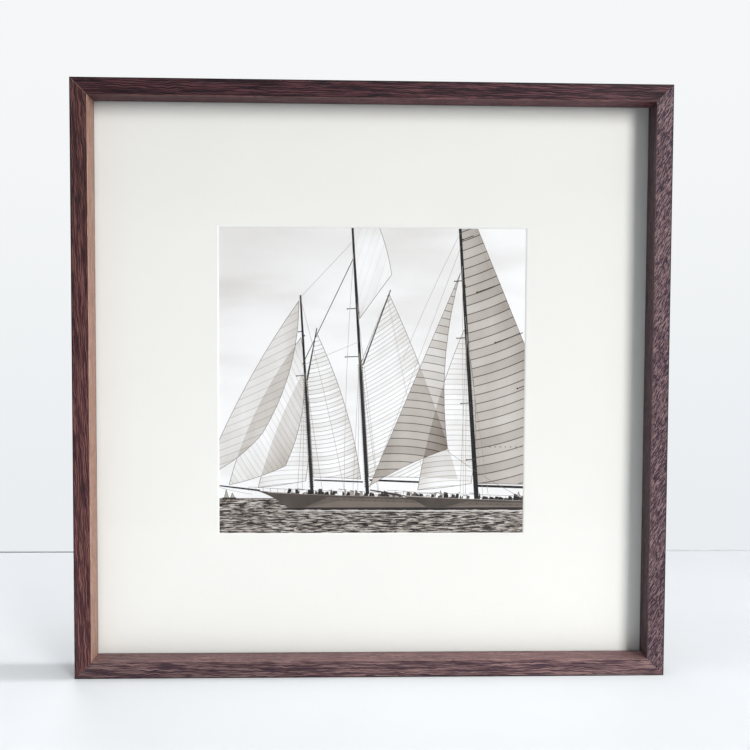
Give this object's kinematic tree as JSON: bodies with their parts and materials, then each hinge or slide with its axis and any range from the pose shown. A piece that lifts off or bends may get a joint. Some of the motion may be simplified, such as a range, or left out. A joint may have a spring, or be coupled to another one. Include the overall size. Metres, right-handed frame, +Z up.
{
  "type": "deep box picture frame",
  "caption": "Square deep box frame in stained wood with a window mat and a print behind glass; the back is held by turn buttons and carries D-ring hangers.",
  "frame": {"origin": "centre of the bottom rail's underside, where the frame stands on a table, halfway between its front and back faces", "axes": "+Z up, the front with the glazing faces -Y, the back with the hardware faces +Y, +X to the right seen from the front"},
  "size_m": [0.52, 0.0401, 0.52],
  "materials": {
    "stained_wood": "open-grained hardwood, dark reddish-brown stain, satin",
    "clear_glass": "clear 2 mm picture glass",
    "mat_board": "warm white mat board with a white core",
    "print_paper": "matt paper with a sepia print",
    "linen_tape": "gummed linen hinging tape",
    "filler_card": "corrugated filler card",
    "fibreboard": "bare brown fibreboard",
    "black_steel": "black coated pressed steel",
    "bright_steel": "bright zinc-plated steel",
    "black_rubber": "soft black rubber"
  },
  "bodies": {
    "frame": {"rail_top": "stained_wood", "rail_bottom": "stained_wood", "stile_left": "stained_wood", "stile_right": "stained_wood", "v_nail_top_left_rear": "bright_steel", "v_nail_top_left_front": "bright_steel", "v_nail_top_right_rear": "bright_steel", "v_nail_top_right_front": "bright_steel", "v_nail_bottom_left_rear": "bright_steel", "v_nail_bottom_left_front": "bright_steel", "v_nail_bottom_right_rear": "bright_steel", "v_nail_bottom_right_front": "bright_steel", "glazing": "clear_glass", "window_mat": "mat_board", "print": "print_paper", "print_hinge_left": "linen_tape", "print_hinge_right": "linen_tape", "mount_board": "mat_board", "filler_board": "filler_card", "backing_board": "fibreboard", "turn_screw_top_left": "bright_steel", "turn_screw_top_right": "bright_steel", "turn_screw_bottom_left": "bright_steel", "turn_screw_bottom_right": "bright_steel", "turn_screw_left_upper": "bright_steel", "turn_screw_left_lower": "bright_steel", "turn_screw_right_upper": "bright_steel", "turn_screw_right_lower": "bright_steel", "hanger_plate_left": "bright_steel", "hanger_plate_right": "bright_steel", "hanger_screw_left": "bright_steel", "hanger_screw_right": "bright_steel", "wall_bumper_left": "black_rubber", "wall_bumper_right": "black_rubber"},
    "button_top_left": {"turn_button_top_left": "black_steel"},
    "button_top_right": {"turn_button_top_right": "black_steel"},
    "button_bottom_left": {"turn_button_bottom_left": "black_steel"},
    "button_bottom_right": {"turn_button_bottom_right": "black_steel"},
    "button_left_upper": {"turn_button_left_upper": "black_steel"},
    "button_left_lower": {"turn_button_left_lower": "black_steel"},
    "button_right_upper": {"turn_button_right_upper": "black_steel"},
    "button_right_lower": {"turn_button_right_lower": "black_steel"},
    "ring_left": {"hanger_ring_left": "bright_steel"},
    "ring_right": {"hanger_ring_right": "bright_steel"}
  },
  "joints": [
    {"name": "turn_top_left", "type": "hinge", "parent": "frame", "child": "button_top_left", "pos_m": [-0.14, 0.0187, 0.515], "axis": [0, 1, 0], "range_deg": [-90, 90]},
    {"name": "turn_top_right", "type": "hinge", "parent": "frame", "child": "button_top_right", "pos_m": [0.14, 0.0187, 0.515], "axis": [0, 1, 0], "range_deg": [-90, 90]},
    {"name": "turn_bottom_left", "type": "hinge", "parent": "frame", "child": "button_bottom_left", "pos_m": [-0.14, 0.0187, 0.005], "axis": [0, 1, 0], "range_deg": [-90, 90]},
    {"name": "turn_bottom_right", "type": "hinge", "parent": "frame", "child": "button_bottom_right", "pos_m": [0.14, 0.0187, 0.005], "axis": [0, 1, 0], "range_deg": [-90, 90]},
    {"name": "turn_left_upper", "type": "hinge", "parent": "frame", "child": "button_left_upper", "pos_m": [-0.255, 0.0187, 0.4], "axis": [0, 1, 0], "range_deg": [-90, 90]},
    {"name": "turn_left_lower", "type": "hinge", "parent": "frame", "child": "button_left_lower", "pos_m": [-0.255, 0.0187, 0.12], "axis": [0, 1, 0], "range_deg": [-90, 90]},
    {"name": "turn_right_upper", "type": "hinge", "parent": "frame", "child": "button_right_upper", "pos_m": [0.255, 0.0187, 0.4], "axis": [0, 1, 0], "range_deg": [-90, 90]},
    {"name": "turn_right_lower", "type": "hinge", "parent": "frame", "child": "button_right_lower", "pos_m": [0.255, 0.0187, 0.12], "axis": [0, 1, 0], "range_deg": [-90, 90]},
    {"name": "swing_ring_left", "type": "hinge", "parent": "frame", "child": "ring_left", "pos_m": [-0.2536, 0.02005, 0.347], "axis": [1, 0, 0], "range_deg": [0, 180]},
    {"name": "swing_ring_right", "type": "hinge", "parent": "frame", "child": "ring_right", "pos_m": [0.2536, 0.02005, 0.347], "axis": [1, 0, 0], "range_deg": [0, 180]}
  ]
}
